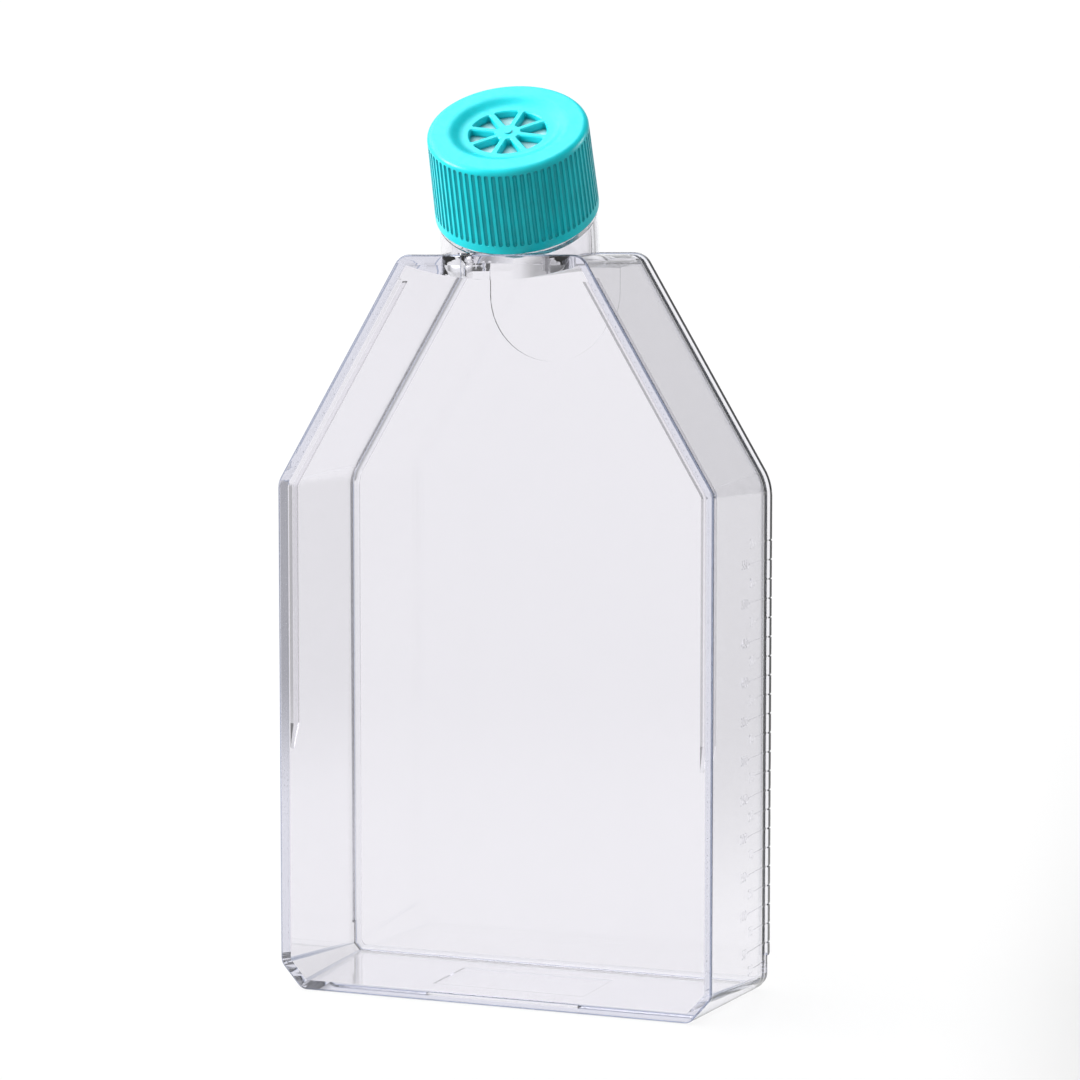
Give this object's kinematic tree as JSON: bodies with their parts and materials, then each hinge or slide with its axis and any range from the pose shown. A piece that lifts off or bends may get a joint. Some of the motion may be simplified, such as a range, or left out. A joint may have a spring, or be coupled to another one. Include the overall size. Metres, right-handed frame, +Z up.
{
  "type": "cell culture flask",
  "caption": "Flat clear flask with sloping shoulders, welded front plate, forward-leaning neck and vented screw cap.",
  "frame": {"origin": "centre of the base, on the surface that the flask stands on", "axes": "+Z up towards the cap, +Y towards the growth wall, +X across the width, the graduated side wall at +X"},
  "size_m": [0.1142, 0.0561, 0.2221],
  "materials": {
    "clear_plastic": "clear, polished",
    "cap_plastic": "satin moulded",
    "membrane": "porous, matt"
  },
  "bodies": {
    "flask": {"flask_body": "clear_plastic", "front_plate": "clear_plastic"},
    "vent": {"vent_membrane": "membrane"},
    "cap": {"cap": "cap_plastic"}
  },
  "joints": [
    {"name": "cap_rise", "type": "slide", "parent": "flask", "child": "vent", "axis": [0.1172, -0.5512, 0.8261], "range_m": [0, 0.006]},
    {"name": "cap_turn", "type": "hinge", "parent": "vent", "child": "cap", "pos_m": [0.00082, -0.00604, 0.19234], "axis": [0.1172, -0.5512, 0.8261], "range_deg": [0, 540]}
  ],
  "couplings": [
    {"joint": "cap_rise", "follows": "cap_turn", "m_per_rad": 0.0006366}
  ]
}
